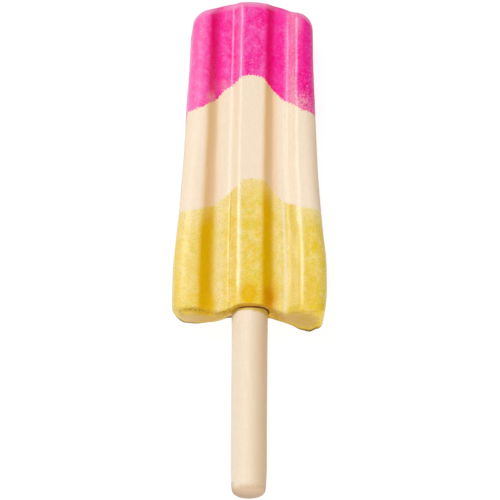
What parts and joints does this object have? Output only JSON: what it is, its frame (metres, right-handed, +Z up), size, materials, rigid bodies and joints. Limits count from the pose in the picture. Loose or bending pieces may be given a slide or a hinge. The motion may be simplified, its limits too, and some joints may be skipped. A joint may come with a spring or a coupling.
{
  "type": "wooden toy ice lolly",
  "caption": "Wooden play-food ice lolly: a ribbed, flat wooden head dyed pink at the tip and yellow at the base, left bare between, on a plain round stick. It lies on its back.",
  "frame": {"origin": "on the surface that the lolly lies on, under the middle of its length and width", "axes": "+Z up, out of the lolly's shown front side; +Y along its length, from the stick's free end to the tip of the head; +X across its width"},
  "size_m": [0.0342, 0.1178, 0.0104],
  "materials": {
    "dyed_wood": "pale close-grained hardwood under a thin satin lacquer, stained strong pink over the top third and yellow over the bottom third, with the bare wood between them",
    "stick_wood": "plain sanded dowel, matte, with a narrow yellow stain where it enters the head"
  },
  "bodies": {
    "root": {"lolly_head": "dyed_wood", "stick": "stick_wood"}
  },
  "joints": []
}
